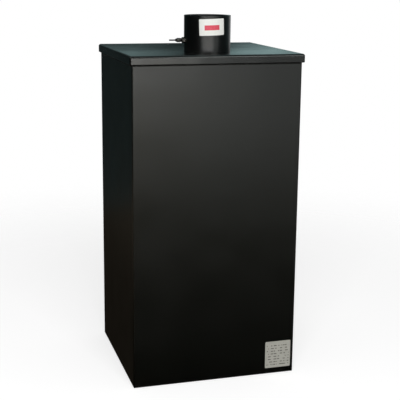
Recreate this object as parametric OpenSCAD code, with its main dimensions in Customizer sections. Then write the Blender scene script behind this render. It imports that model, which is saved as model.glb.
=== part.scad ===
// Top-loading smoke cabinet: a folded sheet-steel box with a lift-off lid, a round smoke
// generator that stands on the lid, and the rods, wire grate and drip tray that go inside.
// The front faces -Y, +X is to the right and +Z is up. The origin is on the ground,
// under the middle of the cabinet.

/* [Cabinet] */
// Width of the cabinet, side to side
body_w = 300; // [250:1:380]
// Depth of the cabinet, front to back
body_d = 280; // [240:1:360]
// Height of the cabinet without its lid
body_h = 583; // [450:1:800]
// Thickness of the cabinet's and the lid's sheet
sheet = 1.2; // [0.8:0.1:1.8]
// Outer radius of the cabinet's folds
fold_r = 3; // [2.2:0.1:5]
// Width of the lip that is folded in round the mouth
top_lip = 12; // [8:1:14]
// Width of the lip that is folded in under the walls
base_lip = 16; // [10:1:24]
// Width of the lips that are folded in at the back edges
back_lip = 18; // [14:1:26]
// Height of the floor pan's turned-up rim
pan_rim = 20; // [10:1:32]
// Gap round the floor pan
pan_gap = 0.5; // [0.2:0.1:1]
// Gap between pieces that are welded or riveted together
joint_gap = 0.1; // [0.05:0.05:0.2]

/* [Rivets] */
// Diameter of a rivet's shank
rivet_d = 4; // [3:0.2:5]
// Diameter of a rivet's round head
rivet_head_d = 7.2; // [6:0.2:9]
// Height of a rivet's round head
rivet_head_h = 1.4; // [0.8:0.1:2]
// Diameter of the tail that is pulled up inside
rivet_tail_d = 6; // [5.4:0.2:7]
// Height of that tail
rivet_tail_h = 1.6; // [1:0.1:2.4]
// Rivets down each side of the back
rivet_rows = 5; // [3:1:8]
// Distance of the end rivets from the ends of the cabinet
rivet_inset = 48; // [40:1:70]

/* [Lid] */
// Gap between the cabinet and the inside of the lid's skirt
lid_gap = 2.8; // [2:0.1:5]
// Height of the lid over its skirt
lid_skirt = 15; // [12:0.5:30]
// Outer radius of the lid's folds
lid_r = 4; // [3.6:0.1:7]
// Height of the closed hem that doubles the edge of the skirt
hem_h = 5; // [3:0.5:8]

/* [Smoke generator] */
// Place of the generator on the lid, to the right of the middle
gen_x = 5; // [-30:1:30]
// Place of the generator on the lid, behind the middle
gen_y = -50; // [-70:1:40]
// Outer diameter of the generator
gen_d = 82; // [74:1:110]
// Height of the generator with its cap
gen_h = 62; // [54:1:150]
// Wall of the generator
gen_wall = 2; // [1.2:0.1:3]
// Thickness of the generator's base and of the collar under it
base_t = 1.5; // [1:0.1:2.5]
// Width of the ash channel round the smoke outlet
ash_w = 9; // [7:0.5:12]
// Height of the ash channel under the chip grate
ash_h = 11.5; // [10:0.5:24]
// Smoke ports at the top of the ash channel's inner wall
port_count = 6; // [3:1:8]
// Width of a smoke port
port_w = 8; // [5:0.5:10]
// Depth of a smoke port
port_h = 6; // [4:0.5:7]
// Thickness of the chip grate
chip_grate_t = 1.5; // [1:0.1:3]
// Clearance between the chip grate and the generator
chip_fit = 0.5; // [0.3:0.1:1]
// Diameter of the chip grate's holes
chip_hole_d = 4; // [2:0.2:5]
// Pitch of the chip grate's holes
chip_hole_pitch = 9; // [7:0.5:14]
// Height of the collar that locates the generator on the lid
collar_h = 7; // [4:0.5:8]
// Clearance between the collar and the generator
collar_fit = 0.5; // [0.3:0.1:1]

/* [Generator cap] */
// Thickness of the pressed cap
cap_t = 1.2; // [0.8:0.1:2]
// Depth of the cap's dish under the rim
dish_depth = 10; // [8.6:0.2:14]
// Radius of the dish's lower edge
dish_r = 3; // [2.2:0.1:5]
// Clearance between the dish and the generator
dish_fit = 0.5; // [0.3:0.1:1]
// Length of the grip strap over its feet
strap_l = 38; // [30:1:46]
// Width of the grip strap
strap_w = 10; // [6:0.5:14]
// Height of the grip strap
strap_h = 7.4; // [6:0.2:8]
// Length of each foot of the strap
strap_foot = 8; // [5:0.5:9]
// Outer radius of the strap's folds
strap_r = 2.6; // [2.2:0.1:3.4]

/* [Air nozzle] */
// Height of the nozzle's axis above the chip grate
nozzle_rise = 6; // [5.6:0.2:16]
// Hexagon of the nozzle's bush, across the flats
bush_af = 9; // [8:0.5:12]
// Length of the bush's hexagon
bush_l = 5.2; // [3:0.1:8]
// Diameter of the bush's threaded barrel
barrel_d = 6.2; // [5.4:0.1:7]
// Length of the barrel outside the hexagon
barrel_l = 3; // [2:0.1:12]
// Hexagon of the lock nut inside the wall, across the flats
lock_af = 9; // [8:0.5:9.4]
// Thickness of the lock nut
lock_l = 3; // [2:0.1:5]
// Diameter of the round cap nut
cap_nut_d = 7.4; // [6.6:0.1:10]
// Length of the cap nut's round part
cap_nut_l = 5.8; // [3:0.1:8]
// Length of the cap nut's tapered nose
nose_l = 3; // [1:0.1:8]
// Wall of the nose at its tip
nose_wall = 0.6; // [0.4:0.1:1]
// Step from the barrel to the spigot in the cap nut
spigot_step = 0.7; // [0.5:0.1:1]
// Length of the spigot in the cap nut
spigot_l = 2.4; // [1.5:0.1:2.8]
// Outer diameter of the air tube inside the nozzle
tube_d = 3; // [2.8:0.1:3.2]
// Outer diameter of the air tube's free end, over which a hose is pushed
spout_d = 2.4; // [1.8:0.1:2.4]
// Bore of the air tube
tube_bore = 1.4; // [0.8:0.1:1.6]
// Length of the air tube outside the nose
tube_out = 11; // [8:0.5:30]
// Length of the air tube inside the generator's wall
tube_in = 18; // [8:0.5:24]

/* [Rods and grate] */
// Diameter of a hanging rod
rod_d = 6; // [4:0.5:8]
// Distance between the hanging rods
rod_pitch = 75; // [50:1:95]
// Depth of the rods' axes under the mouth
rod_drop = 38; // [30:1:80]
// Gap between a rod and its notch
rod_gap = 0.3; // [0.2:0.1:0.6]
// Gap between a rod's end and the wall of its rail
rod_end_gap = 1; // [0.5:0.1:3]
// Thickness of the rails and ledges
bracket_t = 1.5; // [1:0.1:2]
// Outer radius of the rails' and ledges' folds
bracket_r = 2.6; // [2.2:0.1:4]
// Width of a rod rail
rail_w = 14; // [12:1:18]
// Height of the rail's leg against the wall
rail_leg = 22; // [16:1:26]
// Height of the rail that is left under a notch
rail_floor = 4; // [3:0.5:6]
// Height of the rail's notched leg above a rod
rail_horn = 2; // [1:0.5:4]
// Gap between the rails or ledges and the front or back wall
bracket_end_gap = 5; // [3:0.5:10]
// Height of the ledges that carry the grate
ledge_z = 205; // [120:1:280]
// Height of a ledge's leg against the wall
ledge_leg = 16; // [10:1:24]
// Overlap of the grate on a ledge
ledge_seat = 9; // [7:0.5:14]
// Room round the grate and the tray where they pass the rails and ledges
pass_gap = 3; // [2:0.5:6]
// Diameter of the grate's frame wire
frame_wire = 5; // [4:0.5:6]
// Diameter of the grate's cross wires
cross_wire = 3; // [2:0.5:3.5]
// Distance between the cross wires
wire_pitch = 21; // [14:1:30]
// Distance between the two braces under the cross wires
brace_pitch = 84; // [60:1:120]
// Depth to which a cross wire is welded into the frame
weld_bite = 0.6; // [0.3:0.1:0.8]
// Corner radius of the grate's frame
grate_corner_r = 14; // [8:1:25]
// Gap between the round frame wire and its ledge
grate_gap = 0.3; // [0.2:0.1:0.5]
// Height of the drip tray
tray_h = 25; // [15:1:50]
// Sheet of the drip tray
tray_t = 0.8; // [0.6:0.1:1.2]
// Radius of the drip tray's lower folds
tray_r = 4; // [2:0.5:8]
// Radius of the drip tray's upright corners
tray_corner_r = 10; // [6:1:20]

/* [Hidden] */
$fn = 96;

// Length by which a cut runs past the face that it opens
cut = 1;

// Inner faces of the cabinet's walls, and the top of the lid
wall_x = body_w/2 - sheet;
front_y = -body_d/2 + sheet;
back_y = body_d/2 - 2*sheet;
lid_top = body_h + sheet;

// Rivets stand in the middle of the flat of the back lips
rivet_x = body_w/2 - (back_lip + fold_r)/2;
rivet_step = (body_h - 2*rivet_inset)/(rivet_rows - 1);
rivet_dome_r = (pow(rivet_head_d/2, 2) + pow(rivet_head_h, 2))/(2*rivet_head_h);

// Rails and rods under the mouth
rod_z = body_h - rod_drop;
rail_z = rod_z - rod_d/2 - rod_gap - rail_floor;
rail_free_leg = rod_z + rod_d/2 + rail_horn - rail_z;
bracket_y = front_y + bracket_end_gap;
bracket_l = back_y - bracket_end_gap - bracket_y;

// The grate passes the rails and the mouth, and the tray passes the ledges
grate_w = 2*(wall_x - rail_w - pass_gap);
load_front_y = -body_d/2 + top_lip + pass_gap;
load_back_y = back_y - rivet_tail_h - pass_gap;
load_d = load_back_y - load_front_y;
load_y = (load_back_y + load_front_y)/2;
ledge_w = wall_x - grate_w/2 + ledge_seat;
tray_w = 2*(wall_x - ledge_w - pass_gap);
tray_z = 2*sheet;
frame_z = ledge_z + grate_gap + frame_wire/2;

// Radii and heights of the smoke generator, measured from the top of the lid
gen_r = gen_d/2;
gen_ri = gen_r - gen_wall;
seat_r = gen_ri - joint_gap;
ash_ri = seat_r - ash_w;
outlet_r = ash_ri - base_t;
collar_r = outlet_r - collar_fit;
chip_top = ash_h + chip_grate_t;
chip_ring_r = ash_ri + ash_w/2;
chip_hole_count = floor(2*PI*chip_ring_r/chip_hole_pitch);
rim_z = gen_h - cap_t;
plug_r = gen_ri - dish_fit;
nozzle_z = chip_top + nozzle_rise;

// Distances along the nozzle, measured from the generator's axis
hex_end = gen_r + bush_l;
barrel_end = hex_end + barrel_l;
cap_nut_end = barrel_end + cap_nut_l;
nose_end = cap_nut_end + nose_l;
tube_end = nose_end + tube_out;
tube_start = gen_ri - tube_in;
lock_start = gen_ri - joint_gap - lock_l;
spigot_d = barrel_d - 2*spigot_step;
tube_hole_d = tube_d + 2*joint_gap;

// Rectangle with round corners
module round_rect(w, d, r) {
    square([w - 2*r, d], center = true);
    square([w, d - 2*r], center = true);
    for (sx = [-1, 1], sy = [-1, 1])
        translate([sx*(w/2 - r), sy*(d/2 - r)]) circle(r);
}

// Upright outline from the ground to h, with round corners below and above
module fold_outline(w, h, r_low, r_high) {
    translate([-w/2, r_low]) square([w, h - r_low - r_high]);
    translate([-w/2 + r_low, 0]) square([w - 2*r_low, h/2]);
    translate([-w/2 + r_high, h/2]) square([w - 2*r_high, h/2]);
    for (side = [-1, 1]) {
        if (r_low > 0) translate([side*(w/2 - r_low), r_low]) circle(r_low);
        if (r_high > 0) translate([side*(w/2 - r_high), h - r_high]) circle(r_high);
    }
}

// Block as a sheet-metal worker folds it: round upright corners, round low and high edges
module folded_block(w, d, h, r, r_low, r_high) {
    intersection() {
        linear_extrude(h) round_rect(w, d, r);
        rotate([90, 0, 0]) linear_extrude(d, center = true) fold_outline(w, h, r_low, r_high);
        rotate([90, 0, 90]) linear_extrude(w, center = true) fold_outline(d, h, r_low, r_high);
    }
}

// Outline of a sheet folded up into a channel, open above
module channel_outline(w, h, t, r) {
    difference() {
        fold_outline(w, h, r, 0);
        translate([0, t]) fold_outline(w - 2*t, h, r - t, 0);
    }
}

// Outline of a sheet folded down into an arch, open below
module arch_outline(w, h, t, r) {
    translate([0, h]) mirror([0, 1]) channel_outline(w, h, t, r);
}

// Pan that is open above
module folded_pan(w, d, h, t, r, r_low) {
    difference() {
        folded_block(w, d, h, r, r_low, 0);
        translate([0, 0, t]) folded_block(w - 2*t, d - 2*t, h, r - t, r_low - t, 0);
    }
}

// Places its children at each rivet, with +Z pointing out of the back
module at_rivets() {
    for (side = [-1, 1], row = [0 : rivet_rows - 1])
        translate([side*rivet_x, body_d/2, rivet_inset + row*rivet_step])
            rotate([-90, 0, 0]) children();
}

// Holes for the rivets, through the back lips and the back panel
module rivet_holes() {
    at_rivets() translate([0, 0, -2*sheet - cut])
        cylinder(d = rivet_d + 2*joint_gap, h = 2*sheet + 2*cut);
}

// Frame of the generator: its axis, standing on the lid
module on_lid() {
    translate([gen_x, gen_y, lid_top]) children();
}

// Frame of the nozzle: +Z points out to the left from the generator's axis, +X points up
module on_nozzle() {
    on_lid() translate([0, 0, nozzle_z]) rotate([0, -90, 0]) children();
}

// Hexagon by its width across the flats
module hexagon(af, h) {
    cylinder(d = af/cos(30), h = h, $fn = 6);
}

// Round bar along X or Y, centred
module bar_x(d, l) {
    rotate([0, 90, 0]) cylinder(d = d, h = l, center = true);
}
module bar_y(d, l) {
    rotate([90, 0, 0]) cylinder(d = d, h = l, center = true);
}

// Front and sides in one folded sheet, with lips round the mouth, the foot and the back
module body_shell() color("#1b1b1b") difference() {
    folded_block(body_w, body_d, body_h, fold_r, fold_r, fold_r);
    translate([0, 0, sheet])
        folded_block(2*wall_x, body_d - 2*sheet, body_h - 2*sheet,
            fold_r - sheet, fold_r - sheet, fold_r - sheet);
    translate([-body_w/2 + top_lip, -body_d/2 + top_lip, body_h - sheet - cut])
        cube([body_w - 2*top_lip, body_d, sheet + 2*cut]);
    translate([-body_w/2 + base_lip, -body_d/2 + base_lip, -cut])
        cube([body_w - 2*base_lip, body_d, sheet + 2*cut]);
    translate([-body_w/2 + back_lip, body_d/2 - sheet - cut, -cut])
        cube([body_w - 2*back_lip, sheet + 2*cut, body_h + 2*cut]);
    rivet_holes();
}

// Flat back, inside the back lips, with its corners notched round the folds of the top and foot lips
module back_panel() color("#1b1b1b") difference() {
    notch = fold_r + joint_gap;
    tongue_w = body_w - 2*(max(back_lip, base_lip, top_lip) + joint_gap);
    translate([0, back_y + sheet, 0]) rotate([90, 0, 0]) linear_extrude(sheet) {
        translate([-body_w/2 + notch, notch]) square([body_w - 2*notch, body_h - 2*notch]);
        translate([-tongue_w/2, 0]) square([tongue_w, body_h]);
    }
    rivet_holes();
}

// Floor, lying on the foot lips, with its rim turned up against the walls
module floor_pan() color("#1b1b1b")
    translate([0, (front_y + back_y)/2, sheet])
        folded_pan(2*wall_x - 2*pan_gap, back_y - front_y - 2*pan_gap, pan_rim, sheet,
            fold_r + sheet, fold_r);

// Blind rivets that hold the back panel to the back lips
module back_rivets() color("#2a2a2a") at_rivets() rotate_extrude() {
    translate([0, -2*sheet]) square([rivet_d/2, 2*sheet]);
    translate([0, -2*sheet - rivet_tail_h]) square([rivet_tail_d/2, rivet_tail_h]);
    intersection() {
        translate([0, rivet_head_h - rivet_dome_r]) circle(rivet_dome_r);
        square([rivet_head_d/2, rivet_head_h]);
    }
}

// Folded channel on the right wall, with a notch in its free leg for each rod
module rod_rail() difference() {
    translate([wall_x - rail_w, bracket_y + bracket_l, rail_z])
        rotate([90, 0, 0]) linear_extrude(bracket_l) difference() {
            translate([rail_w/2, 0]) channel_outline(rail_w, rail_leg, bracket_t, bracket_r);
            translate([-cut, rail_free_leg]) square([rail_w/2 + cut, rail_leg]);
        }
    for (place = [-1 : 1])
        translate([wall_x - rail_w + bracket_t/2, place*rod_pitch, rod_z]) {
            bar_x(rod_d + 2*rod_gap, bracket_t + 2*cut);
            translate([-bracket_t/2 - cut, -rod_d/2 - rod_gap, 0])
                cube([bracket_t + 2*cut, rod_d + 2*rod_gap, rod_d + rail_horn]);
        }
}
module rod_rail_right() color("#3a3a3a") rod_rail();
module rod_rail_left() color("#3a3a3a") mirror([1, 0, 0]) rod_rail();

// Folded angle on the right wall that carries one side of the grate
module grate_ledge()
    translate([wall_x - ledge_w, bracket_y + bracket_l, ledge_z - ledge_leg])
        rotate([90, 0, 0]) linear_extrude(bracket_l) intersection() {
            arch_outline(2*ledge_w, ledge_leg, bracket_t, bracket_r);
            square([ledge_w, ledge_leg]);
        }
module grate_ledge_right() color("#3a3a3a") grate_ledge();
module grate_ledge_left() color("#3a3a3a") mirror([1, 0, 0]) grate_ledge();

// Steel rod from rail to rail, at place -1, 0 or 1 from front to rear
module hanging_rod(place) color("#b8babc")
    translate([0, place*rod_pitch, rod_z])
        bar_x(rod_d, 2*(wall_x - bracket_t - rod_end_gap));

// Welded grate: a bent frame, two braces and a row of cross wires on top of them
module wire_grate() color("#b8babc") {
    axis_w = grate_w - frame_wire;
    axis_d = load_d - frame_wire;
    wire_count = floor((axis_w - 2*grate_corner_r)/wire_pitch) + 1;
    wire_z = (frame_wire + cross_wire)/2 - weld_bite;
    translate([0, load_y, frame_z]) {
        for (side = [-1, 1]) {
            translate([0, side*axis_d/2, 0]) bar_x(frame_wire, axis_w - 2*grate_corner_r);
            translate([side*axis_w/2, 0, 0]) bar_y(frame_wire, axis_d - 2*grate_corner_r);
            translate([0, side*brace_pitch/2, 0]) bar_x(frame_wire, axis_w);
        }
        for (turn = [0 : 3])
            translate([(turn == 0 || turn == 3 ? 1 : -1)*(axis_w/2 - grate_corner_r),
                (turn < 2 ? 1 : -1)*(axis_d/2 - grate_corner_r), 0])
                rotate(90*turn) rotate_extrude(angle = 90)
                    translate([grate_corner_r, 0]) circle(d = frame_wire);
        for (i = [0 : wire_count - 1])
            translate([(i - (wire_count - 1)/2)*wire_pitch, 0, wire_z]) bar_y(cross_wire, axis_d);
    }
}

// Shallow tray that stands on the floor and catches the drips
module drip_tray() color("#a9acae")
    translate([0, load_y, tray_z])
        folded_pan(tray_w, load_d, tray_h, tray_t, tray_corner_r, tray_r);

// Outline of the lid's edge, outwards from the start of its fold: fold, skirt and closed round hem
module lid_edge_outline() {
    difference() {
        translate([0, lid_skirt - lid_r]) circle(lid_r);
        translate([0, lid_skirt - lid_r]) circle(lid_r - sheet);
        translate([-2*lid_r, 0]) square([2*lid_r, 2*lid_skirt]);
        translate([-cut, lid_skirt - 3*lid_r]) square(2*lid_r);
    }
    translate([lid_r - sheet, sheet]) square([sheet, lid_skirt - lid_r - sheet]);
    translate([lid_r - 2*sheet, sheet]) square([2*sheet, hem_h - sheet]);
    translate([lid_r - sheet, sheet]) circle(sheet);
}

// Lid that lies on the mouth: a flat top with that edge carried round it, and the smoke hole
module lid() color("#222423") difference() {
    lid_w = body_w + 2*lid_gap + 2*sheet;
    lid_d = body_d + 2*lid_gap + 2*sheet;
    translate([0, 0, lid_top - lid_skirt]) {
        translate([0, 0, lid_skirt - sheet]) linear_extrude(sheet)
            square([lid_w - 2*lid_r, lid_d - 2*lid_r], center = true);
        for (turn = [0 : 3]) {
            across = turn % 2 == 0 ? lid_w : lid_d;
            along = turn % 2 == 0 ? lid_d : lid_w;
            rotate(90*turn) translate([across/2 - lid_r, 0, 0]) {
                rotate([90, 0, 0]) linear_extrude(along - 2*lid_r, center = true) lid_edge_outline();
                translate([0, along/2 - lid_r, 0]) rotate_extrude(angle = 90) lid_edge_outline();
            }
        }
    }
    on_lid() translate([0, 0, -sheet - cut]) cylinder(r = collar_r + joint_gap, h = sheet + 2*cut);
}

// Tube in the smoke hole, over which the generator drops
module smoke_collar() color("#3a3a3a") on_lid() translate([0, 0, -sheet]) difference() {
    cylinder(r = collar_r, h = sheet + collar_h);
    translate([0, 0, -cut]) cylinder(r = collar_r - base_t, h = sheet + collar_h + 2*cut);
}

// Wall of the smoke generator, drilled for the nozzle
module generator_shell() color("#161616") difference() {
    on_lid() difference() {
        cylinder(r = gen_r, h = rim_z);
        translate([0, 0, -cut]) cylinder(r = gen_ri, h = rim_z + 2*cut);
    }
    on_nozzle() cylinder(d = barrel_d + 2*joint_gap, h = gen_r + cut);
}

// Base of the generator: an ash channel round the outlet, with smoke ports in its inner wall
module generator_base() color("#3a3a3a") on_lid() difference() {
    rotate_extrude() {
        translate([outlet_r, 0]) square([seat_r - outlet_r, base_t]);
        translate([outlet_r, 0]) square([base_t, ash_h]);
    }
    for (i = [0 : port_count - 1])
        rotate(360*i/port_count) translate([outlet_r - cut, -port_w/2, ash_h - port_h])
            cube([base_t + 2*cut, port_w, port_h + cut]);
}

// Grate under the chips: blank over the outlet, with a ring of holes over the ash channel
module chip_grate() color("#7d7f80") on_lid() translate([0, 0, ash_h]) difference() {
    cylinder(r = gen_ri - chip_fit, h = chip_grate_t);
    for (i = [0 : chip_hole_count - 1])
        rotate(360*i/chip_hole_count) translate([chip_ring_r, 0, -cut])
            cylinder(d = chip_hole_d, h = chip_grate_t + 2*cut);
}

// Screwed bush through the wall: hexagon outside, with its end cut to the round of the wall
module nozzle_bush() color("#8a8c8e") on_nozzle() difference() {
    union() {
        difference() {
            hexagon(bush_af, hex_end);
            rotate([0, 90, 0]) cylinder(r = gen_r + joint_gap, h = gen_d, center = true);
        }
        translate([0, 0, lock_start - cut]) cylinder(d = barrel_d, h = barrel_end - lock_start + cut);
        translate([0, 0, barrel_end - cut]) cylinder(d = spigot_d, h = spigot_l + cut);
    }
    cylinder(d = tube_hole_d, h = tube_end);
}

// Nut on the bush inside the generator, with its face cut to the round of the wall
module nozzle_lock_nut() color("#8a8c8e") on_nozzle() difference() {
    intersection() {
        translate([0, 0, lock_start]) hexagon(lock_af, lock_l + cut);
        rotate([0, 90, 0]) cylinder(r = gen_ri - joint_gap, h = gen_d, center = true);
    }
    cylinder(d = barrel_d + 2*joint_gap, h = gen_r);
}

// Round nut with a tapered nose, which holds the air tube in the bush
module nozzle_cap_nut() color("#8a8c8e") on_nozzle() difference() {
    union() {
        translate([0, 0, barrel_end]) cylinder(d = cap_nut_d, h = cap_nut_l);
        translate([0, 0, cap_nut_end])
            cylinder(d1 = barrel_d, d2 = tube_hole_d + 2*nose_wall, h = nose_l);
    }
    cylinder(d = tube_hole_d, h = tube_end);
    translate([0, 0, barrel_end - cut])
        cylinder(d = spigot_d + 2*joint_gap, h = spigot_l + joint_gap + cut);
}

// Thin tube that blows air in over the chip grate
module air_tube() color("#c4c6c8") on_nozzle() difference() {
    union() {
        translate([0, 0, tube_start]) cylinder(d = tube_d, h = nose_end - tube_start);
        translate([0, 0, nose_end]) cylinder(d = spout_d, h = tube_out);
    }
    translate([0, 0, tube_start - cut]) cylinder(d = tube_bore, h = tube_end - tube_start + 2*cut);
}

// Outline of a dish, from its axis out, with a round lower edge
module dish_outline(r, h, edge_r) {
    translate([0, edge_r]) square([r, h - edge_r]);
    square([r - edge_r, h]);
    translate([r - edge_r, edge_r]) circle(edge_r);
}

// Pressed cap: a flange on the rim and a dish that plugs into the generator
module generator_cap() color("#161616") on_lid() translate([0, 0, rim_z])
    rotate_extrude() difference() {
        union() {
            square([gen_r, cap_t]);
            translate([0, -dish_depth]) dish_outline(plug_r, dish_depth + cap_t, dish_r);
        }
        translate([0, -dish_depth + cap_t]) dish_outline(plug_r - cap_t, dish_depth + cut, dish_r - cap_t);
        translate([-gen_r, -gen_h]) square([gen_r, 2*gen_h]);
    }

// Folded strap in the dish, by which the cap is lifted
module cap_strap() color("#8a8c8e") on_lid()
    translate([0, strap_w/2, rim_z - dish_depth + cap_t])
        rotate([90, 0, 0]) linear_extrude(strap_w) {
            arch_outline(strap_l - 2*strap_foot, strap_h, cap_t, strap_r);
            for (side = [-1, 1])
                translate([side*(strap_l - strap_foot - cap_t)/2, cap_t/2])
                    square([strap_foot + cap_t, cap_t], center = true);
        }

body_shell();
back_panel();
floor_pan();
back_rivets();
rod_rail_left();
rod_rail_right();
grate_ledge_left();
grate_ledge_right();
hanging_rod(-1);  // hanging_rod_front
hanging_rod(0);  // hanging_rod_middle
hanging_rod(1);  // hanging_rod_rear
wire_grate();
drip_tray();
lid();
smoke_collar();
generator_shell();
generator_base();
chip_grate();
nozzle_bush();
nozzle_lock_nut();
nozzle_cap_nut();
air_tube();
generator_cap();
cap_strap();
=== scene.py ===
"""Top-loading smoke cabinet of folded black sheet steel, dressed and set up for its picture."""
import math

import bmesh
import bpy
import numpy as np
from mathutils import Matrix


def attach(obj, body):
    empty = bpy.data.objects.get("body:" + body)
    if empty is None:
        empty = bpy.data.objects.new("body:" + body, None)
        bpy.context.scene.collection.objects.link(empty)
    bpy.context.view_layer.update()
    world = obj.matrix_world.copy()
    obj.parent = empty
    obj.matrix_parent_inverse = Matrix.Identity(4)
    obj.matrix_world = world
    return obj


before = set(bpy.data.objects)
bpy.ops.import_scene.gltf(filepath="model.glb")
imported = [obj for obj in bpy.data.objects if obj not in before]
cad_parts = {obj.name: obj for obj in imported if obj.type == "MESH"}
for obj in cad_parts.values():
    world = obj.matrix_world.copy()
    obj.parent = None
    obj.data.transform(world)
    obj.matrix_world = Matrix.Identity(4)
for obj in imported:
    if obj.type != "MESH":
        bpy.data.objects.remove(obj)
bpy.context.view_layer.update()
mm = 0.001


# Cabinet walls and back: 1.2 mm sheet steel, folded into one wrap for the front and sides, with a flat
# back riveted in. Both are hung on a line, sprayed with satin black polyester powder and baked.

def linear(code):
    """Colour of an sRGB hex code as linear red, green, blue and alpha: the sRGB curve undone."""
    parts = np.array([int(code[i:i + 2], 16) for i in (1, 3, 5)]) / 255.0
    light = np.where(parts <= 0.04045, parts / 12.92, ((parts + 0.055) / 1.055) ** 2.4)
    return (*light.tolist(), 1.0)


def add(tree, kind, inputs, **settings):
    """One shader node. settings are its own choices; inputs gives a socket's value or the output to link
    to it."""
    node = tree.nodes.new("ShaderNode" + kind)
    for name, choice in settings.items():
        setattr(node, name, choice)
    for socket, value in inputs.items():
        if isinstance(value, bpy.types.NodeSocket):
            tree.links.new(value, node.inputs[socket])
        else:
            node.inputs[socket].default_value = value
    return node


def blank_material(name):
    """An empty node material and its tree, for the pieces' finishes and the studio's surfaces."""
    material = bpy.data.materials.new(name)
    material.use_nodes = True
    material.node_tree.nodes.clear()
    return material, material.node_tree


def dress(material, *names):
    """Puts a finish on CAD nodes."""
    for name in names:
        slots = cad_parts[name].data.materials
        slots.clear()
        slots.append(material)


def powder_coat(name, black, dust, gloss, peel_size, peel_depth, wave_depth, mouth=None, crown=None):
    """Baked powder: a deep black with a fine orange peel, gloss that wanders a little from the spray
    gun's passes, and a breath of dust. peel_size is the peel's wave length and gloss its roughness. The
    sheet below it isn't quite flat: wave_depth is the depth of its slow waves, and crown is how far its
    middle stands above its front and back edges, falling off with the square of the way to them. Above the
    height mouth, where the lid's hem rubs and smoke leaks out, the coat is dulled by soot."""
    material, tree = blank_material(name)
    place = add(tree, "TexCoord", {}).outputs["Object"]
    pass_size = 70 * mm
    passes = add(tree, "TexNoise", {"Vector": place, "Scale": 1 / pass_size, "Detail": 3.0})
    speck_size = 2.2 * mm
    specks = add(tree, "TexNoise", {"Vector": place, "Scale": 1 / speck_size, "Detail": 2.0})
    settled = add(tree, "MapRange", {"Value": specks.outputs["Fac"], "From Min": 0.56, "From Max": 0.80})
    colour = add(tree, "Mix", {"Factor": settled.outputs["Result"], "A": linear(black), "B": linear(dust)},
                 data_type="RGBA")
    wander = 0.025
    rough = add(tree, "MapRange", {"Value": passes.outputs["Fac"], "From Min": 0.3, "From Max": 0.7,
                                   "To Min": gloss - wander, "To Max": gloss + wander}).outputs["Result"]
    if mouth:
        soot_rough = 0.85
        fray = 0.6 * mm
        height = add(tree, "SeparateXYZ", {"Vector": place}).outputs["Z"]
        uneven = add(tree, "MapRange", {"Value": specks.outputs["Fac"], "To Min": -fray, "To Max": fray})
        edge = add(tree, "Math", {0: height, 1: uneven.outputs["Result"]}, operation="ADD")
        soot = add(tree, "MapRange", {"Value": edge.outputs["Value"], "From Min": mouth - 0.5 * mm,
                                      "From Max": mouth + 0.4 * mm}, interpolation_type="SMOOTHSTEP")
        rough = add(tree, "Mix", {"Factor": soot.outputs["Result"], "A": rough,
                                  "B": soot_rough}).outputs["Result"]
    wave_size = 95 * mm
    waves = add(tree, "TexNoise", {"Vector": place, "Scale": 1 / wave_size, "Detail": 1.0})
    below = {}
    if crown:
        half_depth = 144 * mm
        depth = add(tree, "SeparateXYZ", {"Vector": place}).outputs["Y"]
        share = add(tree, "Math", {0: depth, 1: half_depth}, operation="DIVIDE").outputs["Value"]
        fall = add(tree, "Math", {0: share, 1: share}, operation="MULTIPLY")
        dome = add(tree, "Bump", {"Height": fall.outputs["Value"], "Strength": 1.0, "Distance": crown},
                   invert=True)
        below = {"Normal": dome.outputs["Normal"]}
    sheet = add(tree, "Bump", {"Height": waves.outputs["Fac"], "Strength": 1.0, "Distance": wave_depth,
                               **below})
    peel = add(tree, "TexNoise", {"Vector": place, "Scale": 1 / peel_size, "Detail": 1.0})
    skin = add(tree, "Bump", {"Height": peel.outputs["Fac"], "Strength": 1.0, "Distance": peel_depth,
                              "Normal": sheet.outputs["Normal"]})
    coat = add(tree, "BsdfPrincipled", {"Base Color": colour.outputs["Result"], "IOR": 1.5,
                                        "Roughness": rough, "Normal": skin.outputs["Normal"]})
    add(tree, "OutputMaterial", {"Surface": coat.outputs["BSDF"]})
    return material


# The peel of such a coat waves at about 2 mm; it is drawn at 3 mm so that the picture can hold it. The
# soot reaches about 2 mm below the lid's hem.
soot_from = 566.9 * mm
cabinet_coat = powder_coat("satin_black_powder_coat", "#020201", "#070603", gloss=0.30, peel_size=3 * mm,
                           peel_depth=0.012 * mm, wave_depth=0.6 * mm, mouth=soot_from)
dress(cabinet_coat, "body_shell", "back_panel")


# Back rivets: ten blind steel rivets through the back lips, set before the coating and sprayed with
# it. Each head keeps the snapped end of its pulling pin in the middle, bare and a little sunk.
dress(cabinet_coat, "back_rivets")


def outline_mesh(name, points, wrap=True):
    """A mesh on the grid points[piece, ring, step]: neighbours in ring and step make a face, steps close
    round on themselves where wrap is set, and rings that shrink to a point are merged there."""
    pieces, rings, steps = points.shape[:3]
    index = np.arange(pieces * rings * steps).reshape(pieces, rings, steps)
    if wrap:
        index = np.concatenate([index, index[:, :, :1]], axis=2)
    faces = np.stack([index[:, :-1, :-1], index[:, :-1, 1:], index[:, 1:, 1:], index[:, 1:, :-1]], axis=-1)
    mesh = bpy.data.meshes.new(name)
    mesh.from_pydata(points.reshape(-1, 3).tolist(), [], faces.reshape(-1, 4).tolist())
    same_point = 0.0005 * mm
    work = bmesh.new()
    work.from_mesh(mesh)
    bmesh.ops.remove_doubles(work, verts=work.verts, dist=same_point)
    bmesh.ops.recalc_face_normals(work, faces=work.faces)
    work.to_mesh(mesh)
    work.free()
    mesh.shade_smooth()
    return mesh


def fit_piece(name, mesh, material, body):
    """A new piece in the shared frame, with its finish in a material slot of its own and the body that
    carries it."""
    piece = bpy.data.objects.new(name, mesh)
    bpy.context.scene.collection.objects.link(piece)
    mesh.materials.append(material)
    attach(piece, body)


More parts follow.
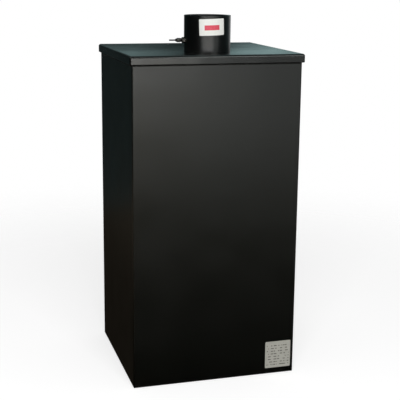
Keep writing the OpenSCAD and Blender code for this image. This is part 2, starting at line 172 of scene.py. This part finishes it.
def buttons(name, centres, out, across, radius, heights):
    """Round buttons on a flat face: rings of shrinking radius, with the heights given from rim to middle.
    out is the face's normal and across any direction in the face; the rim goes a little into the metal."""
    out, across = np.array(out, float), np.array(across, float)
    beside = np.cross(out, across)
    steps = 20
    turn = np.linspace(0, 2 * np.pi, steps, endpoint=False)
    heights = np.array(heights)
    reach = radius * np.linspace(1, 0, len(heights))
    circle = np.cos(turn)[:, None] * across + np.sin(turn)[:, None] * beside
    one = reach[:, None, None] * circle + heights[:, None, None] * out
    return outline_mesh(name, np.array(centres)[:, None, None, :] + one)


def worked_steel(name, bright, dull, rough, grain):
    """Bare or blackened steel that was drawn, turned or rolled: a metal with fine lines along the way it
    was worked, which shift its colour and roughness. grain gives the lines' size along x, y and z."""
    material, tree = blank_material(name)
    place = add(tree, "TexCoord", {}).outputs["Object"]
    stretch = add(tree, "Mapping", {"Vector": place, "Scale": [1 / size for size in grain]})
    lines = add(tree, "TexNoise", {"Vector": stretch.outputs["Vector"], "Scale": 1.0, "Detail": 4.0})
    worn = add(tree, "MapRange", {"Value": lines.outputs["Fac"], "From Min": 0.35, "From Max": 0.65})
    colour = add(tree, "Mix", {"Factor": worn.outputs["Result"], "A": linear(dull), "B": linear(bright)},
                 data_type="RGBA")
    gloss = add(tree, "MapRange", {"Value": worn.outputs["Result"], "To Min": rough + 0.07,
                                   "To Max": rough - 0.05})
    mark_depth = 0.02 * mm
    marks = add(tree, "Bump", {"Height": lines.outputs["Fac"], "Strength": 0.5, "Distance": mark_depth})
    steel = add(tree, "BsdfPrincipled", {"Base Color": colour.outputs["Result"], "Metallic": 1.0,
                                         "Roughness": gloss.outputs["Result"],
                                         "Normal": marks.outputs["Normal"]})
    add(tree, "OutputMaterial", {"Surface": steel.outputs["BSDF"]})
    return material


rivet_x = 139.5 * mm
rivet_head_y = 141.4 * mm
rivet_rows = np.linspace(48, 535, 5) * mm
pin_places = [(side * rivet_x, rivet_head_y, z) for side in (-1, 1) for z in rivet_rows]
pin_r = 1.3 * mm
pin_heights = np.array([-0.30, 0.02, 0.06, -0.05, -0.12, -0.10]) * mm
pin_steel = worked_steel("snapped_rivet_steel", "#77746e", "#3d3b38", rough=0.42,
                         grain=(0.5 * mm, 0.5 * mm, 0.5 * mm))
pin_ends = buttons("rivet_pin_ends", pin_places, (0, 1, 0), (1, 0, 0), pin_r, pin_heights)
fit_piece("rivet_pin_ends", pin_ends, pin_steel, "cabinet")


# Floor pan, rod rails and grate ledges: thin sheet, folded and spot-welded inside the box, then coated
# with it. The powder reaches the inside thinly, so it is rougher and more matt there.
inner_coat = powder_coat("matt_black_inner_coat", "#111110", "#1e1d1b", gloss=0.55, peel_size=2.4 * mm,
                         peel_depth=0.02 * mm, wave_depth=0.3 * mm)
dress(inner_coat, "floor_pan", "rod_rail_left", "rod_rail_right", "grate_ledge_left", "grate_ledge_right")

# The electrode leaves a round dent with a raised edge on each bracket leg, four to a bracket.
bracket_face_x = 147.3 * mm
weld_rows = (552.5 * mm, 195.5 * mm)
weld_columns = (-112 * mm, -38 * mm, 38 * mm, 112 * mm)
weld_r = 2.6 * mm
weld_heights = np.array([-0.10, 0.10, 0.16, 0.02, -0.02, -0.02]) * mm
for side, hand in ((-1, "left"), (1, "right")):
    weld_places = [(side * bracket_face_x, y, z) for z in weld_rows for y in weld_columns]
    dents = buttons("spot_welds_" + hand, weld_places, (-side, 0, 0), (0, 1, 0), weld_r, weld_heights)
    fit_piece("spot_welds_" + hand, dents, inner_coat, "cabinet")


# Hanging rods: 6 mm stainless bar, drawn through a die and cut to length, laid loose in the rails.
rod_steel = worked_steel("drawn_stainless_rod", "#c3c1bb", "#8f8d88", rough=0.26,
                         grain=(40 * mm, 0.35 * mm, 0.35 * mm))
dress(rod_steel, "hanging_rod_front", "hanging_rod_middle", "hanging_rod_rear")


# Wire grate: drawn wire, bent and resistance-welded, then nickel-plated bright. The wires run front to
# back, so the die lines do too.
grate_plate = worked_steel("nickel_plated_wire", "#cbc8c0", "#a29e95", rough=0.20,
                           grain=(0.4 * mm, 45 * mm, 0.4 * mm))
dress(grate_plate, "wire_grate")


# Drip tray: 0.8 mm stainless sheet, brushed across its width and folded up.
tray_steel = worked_steel("brushed_stainless_tray", "#b9b7b1", "#94928d", rough=0.34,
                          grain=(60 * mm, 0.5 * mm, 0.5 * mm))
dress(tray_steel, "drip_tray")


# Label on the cabinet: a square of silver polyester film at the lower right of the front, stuck on by
# hand. Its print is rows of plain grey dashes, and its corners are cut round.

def film(name, width, height, corner, thick, place):
    """A stuck-on film: its outline is a rectangle with round corners, drawn in to the middle ring by ring,
    once for the front and once for the back. place turns (across, up, out) into points of the object."""
    steps = 128
    turn = np.linspace(0, 2 * np.pi, steps, endpoint=False) + np.pi / steps
    beam = np.stack([np.cos(turn), np.sin(turn)], axis=-1)
    inner = np.array([width, height]) / 2 - corner
    side = np.sign(beam) * inner
    flat = beam * np.min(np.array([width, height]) / 2 / np.abs(beam), axis=-1, keepdims=True)
    away = np.sum(beam * side, axis=-1)
    reach = away + np.sqrt(np.maximum(away ** 2 - np.sum(side ** 2, axis=-1) + corner ** 2, 0))
    in_corner = np.all(np.abs(flat) > inner, axis=-1)
    edge = np.where(in_corner[:, None], beam * reach[:, None], flat)
    shrink = np.array([0, 0.25, 0.5, 0.7, 0.85, 0.95, 0.992, 1.0, 0.992, 0.9, 0.6, 0.3, 0])
    out = thick * np.array([1, 1, 1, 1, 1, 1, 0.9, 0.5, 0.1, 0, 0, 0, 0])
    plane = shrink[:, None, None] * edge
    points = place(plane[..., 0], plane[..., 1], np.broadcast_to(out[:, None], plane.shape[:2]))
    return outline_mesh(name, points[None])


def add_film_map(mesh, across, up):
    """UV map of a film: 0 to 1 across it and up it, from the given coordinate of each vertex."""
    corners = np.zeros(len(mesh.loops), np.int32)
    mesh.loops.foreach_get("vertex_index", corners)
    mesh.uv_layers.new(name="film").data.foreach_set(
        "uv", np.stack([across[corners], up[corners]], axis=-1).astype(np.float32).ravel())


def vertices(mesh):
    """The mesh's vertices as rows of x, y and z."""
    rows = np.zeros(len(mesh.vertices) * 3)
    mesh.vertices.foreach_get("co", rows)
    return rows.reshape(-1, 3)


plate_w, plate_h = 48.9 * mm, 50.9 * mm
plate_corner, plate_thick = 1.5 * mm, 0.16 * mm
plate_x, plate_z = 119.7 * mm, 36.9 * mm
front_y = -140 * mm


def on_front(across, up, out):
    """Points on the flat front: across runs to the right, up is up and out comes forward."""
    return np.stack([plate_x + across, front_y - out, plate_z + up], axis=-1)


plate_mesh = film("cabinet_label", plate_w, plate_h, plate_corner, plate_thick, on_front)
plate_at = vertices(plate_mesh)
plate_across = (plate_at[:, 0] - plate_x) / plate_w + 0.5
plate_up = (plate_at[:, 2] - plate_z) / plate_h + 0.5
add_film_map(plate_mesh, plate_across, plate_up)

plate_film, tree = blank_material("silver_polyester_film")
on_film = add(tree, "UVMap", {}, uv_map="film").outputs["UV"]
spread = add(tree, "SeparateXYZ", {"Vector": on_film})
# Rows of dashes inside a bare margin. The print of such a label is about half as coarse; it is drawn so
# large that the picture can hold it.
row_pitch, row_height, dash_length = 5.2 * mm, 1.6 * mm, 5.5 * mm
side_margin, end_margin = 3 * mm, 4 * mm
rows = add(tree, "Math", {0: spread.outputs["Y"], 1: plate_h / row_pitch}, operation="MULTIPLY")
row_phase = add(tree, "Math", {0: rows.outputs["Value"]}, operation="FRACT")
row_line = add(tree, "Math", {0: row_phase.outputs["Value"], 1: row_height / row_pitch},
               operation="LESS_THAN")
row_number = add(tree, "Math", {0: rows.outputs["Value"]}, operation="FLOOR")
along_row = add(tree, "Math", {0: spread.outputs["X"], 1: plate_w / dash_length}, operation="MULTIPLY")
row_place = add(tree, "CombineXYZ", {"X": along_row.outputs["Value"], "Y": row_number.outputs["Value"]})
broken = add(tree, "TexNoise", {"Vector": row_place.outputs["Vector"], "Scale": 1.0, "Detail": 1.0})
dash = add(tree, "Math", {0: broken.outputs["Fac"], 1: 0.5}, operation="GREATER_THAN")
in_width = add(tree, "Math", {0: spread.outputs["X"], 1: 0.5, 2: 0.5 - side_margin / plate_w},
               operation="COMPARE")
in_height = add(tree, "Math", {0: spread.outputs["Y"], 1: 0.5, 2: 0.5 - end_margin / plate_h},
                operation="COMPARE")
inked = add(tree, "Math", {0: row_line.outputs["Value"], 1: dash.outputs["Value"]}, operation="MULTIPLY")
inked = add(tree, "Math", {0: inked.outputs["Value"], 1: in_width.outputs["Value"]}, operation="MULTIPLY")
inked = add(tree, "Math", {0: inked.outputs["Value"], 1: in_height.outputs["Value"]}, operation="MULTIPLY")
place = add(tree, "TexCoord", {}).outputs["Object"]
# Handling leaves the film cloudy in patches of about a centimetre.
cloud_size = 11 * mm
clouds = add(tree, "TexNoise", {"Vector": place, "Scale": 1 / cloud_size, "Detail": 3.0})
silver = add(tree, "Mix", {"Factor": clouds.outputs["Fac"], "A": linear("#a09f96"),
                           "B": linear("#b2b1a8")}, data_type="RGBA")
print_grey = add(tree, "Mix", {"Factor": inked.outputs["Value"], "A": silver.outputs["Result"],
                               "B": linear("#55534e")}, data_type="RGBA")
film_rough = add(tree, "MapRange", {"Value": clouds.outputs["Fac"], "To Min": 0.38, "To Max": 0.52})
film_shader = add(tree, "BsdfPrincipled", {"Base Color": print_grey.outputs["Result"], "IOR": 1.5,
                                           "Roughness": film_rough.outputs["Result"]})
add(tree, "OutputMaterial", {"Surface": film_shader.outputs["BSDF"]})
fit_piece("cabinet_label", plate_mesh, plate_film, "cabinet")


# Lid: the same sheet folded into a shallow pan with a hemmed skirt and coated in the same black with a
# little more gloss. Folding leaves its top slightly crowned. It lies loose over the mouth, with the collar
# for the generator pressed into its hole.
lid_coat = powder_coat("satin_black_lid_coat", "#040404", "#1c1b19", gloss=0.20, peel_size=3 * mm,
                       peel_depth=0.012 * mm, wave_depth=1.6 * mm, crown=3.0 * mm)
dress(lid_coat, "lid")
dress(inner_coat, "smoke_collar")


# Smoke generator: a length of steel tube with a pressed cap that plugs its top, both in the same black
# but sprayed thinner over a smoother and stiffer surface, so their peel is finer and they hardly wave.
generator_coat = powder_coat("semi_gloss_black_coat", "#020202", "#080808", gloss=0.30,
                             peel_size=2.2 * mm, peel_depth=0.008 * mm, wave_depth=0.05 * mm)
dress(generator_coat, "generator_shell", "generator_cap")

# Inside it, the ash channel is coated matt and the drilled chip grate stays bare, dull from the heat.
dress(inner_coat, "generator_base")
chip_steel = worked_steel("heat_dulled_steel", "#6d675f", "#43403c", rough=0.45,
                          grain=(6 * mm, 1.2 * mm, 1.2 * mm))
dress(chip_steel, "chip_grate")


# Air nozzle: a turned bush, nuts and a thin tube of steel, blackened in a hot salt bath and oiled. The
# bush's barrel is threaded; the cap nut with the tapered nose holds the tube.
black_steel = worked_steel("blackened_turned_steel", "#4b4946", "#191817", rough=0.17,
                           grain=(0.5 * mm, 5 * mm, 5 * mm))
dress(black_steel, "nozzle_bush", "nozzle_lock_nut", "nozzle_cap_nut")
tube_steel = worked_steel("blackened_drawn_tube", "#1c1b1a", "#0c0c0b", rough=0.36,
                          grain=(6 * mm, 0.5 * mm, 0.5 * mm))
dress(tube_steel, "air_tube")


def thread(start, end, barrel_r, crest, pitch):
    """Screw thread on a barrel along -X: radius rises from the barrel to the crest and back once in each
    pitch, and the ridge climbs one pitch in a turn. Both ends run out into the barrel."""
    rings, steps = 90, 48
    along = np.linspace(0, abs(end - start), rings)
    turn = np.linspace(0, 2 * np.pi, steps, endpoint=False)
    way, angle = np.meshgrid(along, turn, indexing="ij")
    phase = (way / pitch - angle / (2 * np.pi)) % 1.0
    ridge = 1 - np.abs(2 * phase - 1)
    run_out = 0.6 * pitch
    fade = np.clip(np.minimum(way, along[-1] - way) / run_out, 0, 1)
    sunk = 0.08 * mm
    radius = barrel_r + crest * ridge * fade - sunk * (1 - fade)
    return np.stack([start - way, radius * np.cos(angle), radius * np.sin(angle)], axis=-1)


nozzle_y, nozzle_z = -50 * mm, 603.2 * mm
ridges = thread(start=-41.3 * mm, end=-44.1 * mm, barrel_r=3.1 * mm, crest=0.32 * mm, pitch=0.8 * mm)
ridges += np.array([0, nozzle_y, nozzle_z])
thread_mesh = outline_mesh("nozzle_thread", ridges[None])
fit_piece("nozzle_thread", thread_mesh, black_steel, "generator")


# Cap strap: a strip of the same blackened steel, bent into a grip and spot-welded in the cap's dish.
strap_steel = worked_steel("blackened_strip_steel", "#2d2c2a", "#161615", rough=0.36,
                           grain=(8 * mm, 0.6 * mm, 0.6 * mm))
dress(strap_steel, "cap_strap")


# Label on the generator: a white vinyl film wrapped round the front of the tube, stuck on by hand a
# little out of level, with a plain red band across it.
tube_r = 41 * mm
tube_x, tube_y = 5 * mm, -50 * mm
wrap_w, wrap_h = 45.8 * mm, 28.3 * mm
wrap_corner, wrap_thick, glue_thick = 1.2 * mm, 0.14 * mm, 0.02 * mm
wrap_turn, wrap_z = math.radians(-4.5), 627.2 * mm
wrap_tilt = math.radians(2.2)


def on_tube(across, up, out):
    """Points on the tube: across is arc length to the right of the label's middle and up is height above
    it, both turned by its tilt, and out is the way out from the glue on the tube."""
    level = across * math.cos(wrap_tilt) - up * math.sin(wrap_tilt)
    rise = across * math.sin(wrap_tilt) + up * math.cos(wrap_tilt)
    angle = wrap_turn + level / tube_r
    reach = tube_r + out + glue_thick
    return np.stack([tube_x + reach * np.sin(angle), tube_y - reach * np.cos(angle), wrap_z + rise],
                    axis=-1)


wrap_mesh = film("generator_label", wrap_w, wrap_h, wrap_corner, wrap_thick, on_tube)
wrap_at = vertices(wrap_mesh)
wrap_arc = (np.arctan2(wrap_at[:, 0] - tube_x, tube_y - wrap_at[:, 1]) - wrap_turn) * tube_r
wrap_rise = wrap_at[:, 2] - wrap_z
wrap_across = wrap_arc * math.cos(wrap_tilt) + wrap_rise * math.sin(wrap_tilt)
wrap_up = wrap_rise * math.cos(wrap_tilt) - wrap_arc * math.sin(wrap_tilt)
add_film_map(wrap_mesh, wrap_across / wrap_w + 0.5, wrap_up / wrap_h + 0.5)

vinyl, tree = blank_material("printed_white_vinyl")
on_film = add(tree, "UVMap", {}, uv_map="film").outputs["UV"]
spread = add(tree, "SeparateXYZ", {"Vector": on_film})
# The band's middle and half height and half width, as shares of the film.
band_up, band_half_h, band_half_w = 0.47, 0.15, 0.29
in_height = add(tree, "Math", {0: spread.outputs["Y"], 1: band_up, 2: band_half_h}, operation="COMPARE")
in_width = add(tree, "Math", {0: spread.outputs["X"], 1: 0.5, 2: band_half_w}, operation="COMPARE")
inked = add(tree, "Math", {0: in_height.outputs["Value"], 1: in_width.outputs["Value"]},
            operation="MULTIPLY")
place = add(tree, "TexCoord", {}).outputs["Object"]
# Ink lies thinner in blotches of about 2 mm.
blotch_size = 2 * mm
blotches = add(tree, "TexNoise", {"Vector": place, "Scale": 1 / blotch_size, "Detail": 2.0})
ink = add(tree, "Mix", {"Factor": blotches.outputs["Fac"], "A": linear("#c8384a"), "B": linear("#d9606e")},
          data_type="RGBA")
vinyl_white = add(tree, "Mix", {"Factor": blotches.outputs["Fac"], "A": linear("#e2e3dd"),
                                "B": linear("#ecede8")}, data_type="RGBA")
printed = add(tree, "Mix", {"Factor": inked.outputs["Value"], "A": vinyl_white.outputs["Result"],
                            "B": ink.outputs["Result"]}, data_type="RGBA")
vinyl_rough = add(tree, "MapRange", {"Value": blotches.outputs["Fac"], "To Min": 0.34, "To Max": 0.44})
vinyl_shader = add(tree, "BsdfPrincipled", {"Base Color": printed.outputs["Result"], "IOR": 1.46,
                                            "Roughness": vinyl_rough.outputs["Result"]})
add(tree, "OutputMaterial", {"Surface": vinyl_shader.outputs["BSDF"]})
fit_piece("generator_label", wrap_mesh, vinyl, "generator")


# Studio floor: a pale disc that the cabinet stands on. It takes the cabinet's soft shadow and fades out
# into the white surroundings.

def stage_surface(name, points, material, wrap=False):
    """A studio surface on a grid of points, kept out of the object."""
    surface = bpy.data.objects.new(name, outline_mesh(name, points[None], wrap))
    bpy.context.scene.collection.objects.link(surface)
    surface.data.materials.append(material)
    return surface


def seen(tree):
    """1 for a ray that is seen, straight on, in gloss or through clear matter, and 0 for one that only
    carries light."""
    ray = add(tree, "LightPath", {})
    shown = add(tree, "Math", {0: ray.outputs["Is Camera Ray"], 1: ray.outputs["Is Glossy Ray"]},
                operation="ADD")
    shown = add(tree, "Math", {0: shown.outputs["Value"], 1: ray.outputs["Is Transmission Ray"]},
                operation="ADD", use_clamp=True)
    return shown.outputs["Value"]


floor_r = 2.4
floor_drop = 0.4 * mm
fade_from, fade_to = 0.5, 1.6
floor_lift = 0.62
rings, steps = 13, 96
disc_reach = np.linspace(0, floor_r, rings)[:, None, None]
disc_turn = np.linspace(0, 2 * np.pi, steps, endpoint=False)
disc = disc_reach * np.stack([np.cos(disc_turn), np.sin(disc_turn), 0 * disc_turn], axis=-1)
floor_paint, tree = blank_material("pale_studio_floor")
place = add(tree, "TexCoord", {}).outputs["Object"]
from_cabinet = add(tree, "VectorMath", {0: place}, operation="LENGTH")
fade = add(tree, "MapRange", {"Value": from_cabinet.outputs["Value"], "From Min": fade_from,
                              "From Max": fade_to}, interpolation_type="SMOOTHSTEP")
matt = add(tree, "BsdfDiffuse", {"Color": linear("#d6d6d6")})
lift = add(tree, "Math", {0: seen(tree), 1: floor_lift}, operation="MULTIPLY")
white = add(tree, "Emission", {"Color": (1, 1, 1, 1), "Strength": lift.outputs["Value"]})
lit = add(tree, "AddShader", {0: matt.outputs["BSDF"], 1: white.outputs["Emission"]})
clear = add(tree, "BsdfTransparent", {})
ground = add(tree, "MixShader", {0: fade.outputs["Result"], 1: lit.outputs["Shader"],
                                 2: clear.outputs["BSDF"]})
add(tree, "OutputMaterial", {"Surface": ground.outputs["Shader"]})
stage_surface("studio_floor", disc - np.array([0, 0, floor_drop]), floor_paint, wrap=True)


# Studio cards: they show only as reflections in the black coats and light nothing. They are pale in front,
# dark and warm on the ground, and cool grey behind, beside and above.

def flag(name, corner, along, up, tint, axis, *levels):
    """A card from its corner and two edges, in one tint. levels are (place, strength) pairs along an axis,
    X, Y or Z: the glow goes evenly from one to the next and stays as it is beyond the ends."""
    material, tree = blank_material(name)
    point = add(tree, "TexCoord", {}).outputs["Object"]
    spread = add(tree, "SeparateXYZ", {"Vector": point}).outputs[axis]
    tones = [(*(level * part for part in tint), 1.0) for _, level in levels]
    places = [place for place, _ in levels]
    glow = tones[0]
    for start, end, tone in zip(places, places[1:], tones[1:]):
        step = add(tree, "MapRange", {"Value": spread, "From Min": start, "From Max": end})
        glow = add(tree, "Mix", {"Factor": step.outputs["Result"], "A": glow, "B": tone},
                   data_type="RGBA").outputs["Result"]
    card_glow = add(tree, "Emission", {"Color": glow, "Strength": 1.0})
    add(tree, "OutputMaterial", {"Surface": card_glow.outputs["Emission"]})
    material.cycles.emission_sampling = "NONE"
    share = np.linspace(0, 1, 2)
    way_along = share[:, None, None] * np.array(along)
    way_up = share[None, :, None] * np.array(up)
    card = stage_surface(name, np.array(corner) + way_along + way_up, material)
    card.visible_camera = False
    card.visible_diffuse = False
    card.visible_transmission = False
    card.visible_shadow = False


cool_grey = (0.68, 1.0, 1.0)
warm_brown = (1.0, 0.82, 0.60)
olive = (1.0, 0.98, 0.68)
soft_white = (0.94, 1.0, 0.97)
lamp_white = (1.0, 1.0, 1.0)

# On the ground: darkest at the foot of the front and of the left side.
flag("ground_flag", (-1.5, -2.0, 0.1 * mm), (2.9, 0, 0), (0, 1.86, 0), warm_brown, "Y",
     (-1.9, 0.4), (-0.9, 0.14), (-0.3, 0.05))
flag("front_foot_flag", (-0.25, -0.14, 0.2 * mm), (0.8, 0, 0), (0.35, -1.86, 0), olive, "Y",
     (-2.0, 0.20), (-1.2, 0.07), (-0.6, 0.02), (-0.2, 0.005))
flag("side_ground_flag", (-1.5, -0.14, 0.1 * mm), (1.35, 0, 0), (0, 1.34, 0), warm_brown, "X",
     (-1.0, 0.4), (-0.45, 0.022))

# In front: the front of the cabinet mirrors the right half, and the generator's wall mirrors all of it.
flag("front_low_flag", (-1.55, -2.0, 0), (2.2, 0, 0), (0, 0, 0.42), olive, "Z",
     (0.0, 0.08), (0.2, 0.55), (0.42, 1.6))
flag("front_right_flag", (0.41, -1.99, 0), (1.4, 0, 0), (0, 0, 2.2), soft_white, "X",
     (0.41, 1.6), (0.72, 0.75), (1.0, 0.5), (1.3, 1.9))
flag("high_right_flag", (0.46, -1.985, 0.75), (1.4, 0, 0), (0, 0, 1.4), soft_white, "X",
     (0.46, 7.5), (0.60, 4.8), (0.85, 3.5), (1.3, 1.5))
flag("front_left_flag", (-2.73, -1.99, 0), (1.4, 0, 0), (0, 0, 2.2), soft_white, "X", (0, 3.0))

# Beside, behind and above: the lid's top mirrors the rear cards, which get lighter to the right, and the
# card above. The lid card keeps a view from behind from being flooded.
flag("left_flag", (-1.5, -1.7, 0), (0, 2.9, 0), (0, 0, 1.1), cool_grey, "X", (0, 0.015))
flag("right_flag", (1.5, -2.0, 0), (0, 2.9, 0), (0, 0, 1.3), cool_grey, "Y", (-0.4, 0.09), (0.8, 0.2))
flag("rear_flag", (-1.5, 1.2, 0), (2.6, 0, 0), (0, 0, 1.7), cool_grey, "X",
     (-0.3, 0.035), (0.05, 0.28), (0.14, 0.32), (0.24, 0.19), (0.32, 0.08), (0.38, 0.11), (0.50, 0.56),
     (0.60, 0.64), (0.70, 0.45))
flag("rear_low_flag", (-1.5, 1.19, 0), (2.6, 0, 0), (0, 0, 0.71), cool_grey, "X",
     (-0.3, 0.035), (0.05, 0.03), (0.14, 0.03), (0.24, 0.008), (0.38, 0.008), (0.50, 0.09), (0.60, 0.25),
     (0.70, 0.20))
flag("lid_flag", (-1.0, -0.9, 0.605), (1.8, 0, 0), (0, 0, 0.1), cool_grey, "X", (0, 0.15))
flag("over_flag", (-1.2, -1.75, 1.9), (2.4, 0, 0), (0, 2.95, 0), cool_grey, "Y",
     (-0.4, 0.1), (0.2, 0.65), (1.1, 0.22))


# Studio light: one broad soft box in front, left of the middle and up from knee height, and an even
# white surround that fills the shadows. In reflections a card stands in for the box, bright along its
# lower edge and dim above.
box_w, box_h = 1.74, 1.90
box_x, box_y, box_z = -0.46, -2.0, 1.37
box_light = bpy.data.lights.new("soft_box", "AREA")
box_light.shape = "RECTANGLE"
box_light.size = box_w
box_light.size_y = box_h
box_light.energy = 45.0
soft_box = bpy.data.objects.new("soft_box", box_light)
bpy.context.scene.collection.objects.link(soft_box)
soft_box.location = (box_x, box_y, box_z)
soft_box.rotation_euler = (math.radians(90), 0, 0)
soft_box.visible_glossy = False

edge_gain, dim_share = 1.7, 0.06
bright_to, dim_from = 0.68, 0.80
box_glow = edge_gain * box_light.energy / (math.pi * box_w * box_h)
flag("soft_box_face", (box_x - box_w / 2, box_y, box_z - box_h / 2), (box_w, 0, 0), (0, 0, box_h),
     lamp_white, "Z", (bright_to, box_glow), (dim_from, dim_share * box_glow))

fill = 0.3
surround = bpy.data.worlds.new("white_surround")
bpy.context.scene.world = surround
surround.use_nodes = True
tree = surround.node_tree
tree.nodes.clear()
level = add(tree, "MapRange", {"Value": seen(tree), "To Min": fill, "To Max": 1.0})
white = add(tree, "Background", {"Color": (1, 1, 1, 1), "Strength": level.outputs["Result"]})
add(tree, "OutputWorld", {"Surface": white.outputs["Background"]})
bpy.context.scene.view_settings.view_transform = "Standard"


# Camera: in front and to the left, a little above the lid, looking down at the cabinet with a long lens,
# held a little out of level.
camera_place = (-0.47937, -1.67318, 0.71738)
view_turn, view_fall, view_roll = (math.radians(a) for a in (-16.2735, 12.4684, 0.5622))
back = np.array([math.sin(view_turn) * math.cos(view_fall), -math.cos(view_turn) * math.cos(view_fall),
                 math.sin(view_fall)])
right = np.cross(-back, (0, 0, 1))
right /= np.linalg.norm(right)
up = np.cross(back, right)
rolled_right = math.cos(view_roll) * right + math.sin(view_roll) * up
rolled_up = math.cos(view_roll) * up - math.sin(view_roll) * right
lens = bpy.data.cameras.new("camera")
lens.lens = 85.75
lens.sensor_width = 36.0
lens.shift_y = -0.04
camera = bpy.data.objects.new("camera", lens)
bpy.context.scene.collection.objects.link(camera)
camera_turn = Matrix(np.stack([rolled_right, rolled_up, back], axis=-1).tolist()).to_4x4()
camera.matrix_world = Matrix.Translation(camera_place) @ camera_turn
bpy.context.scene.camera = camera
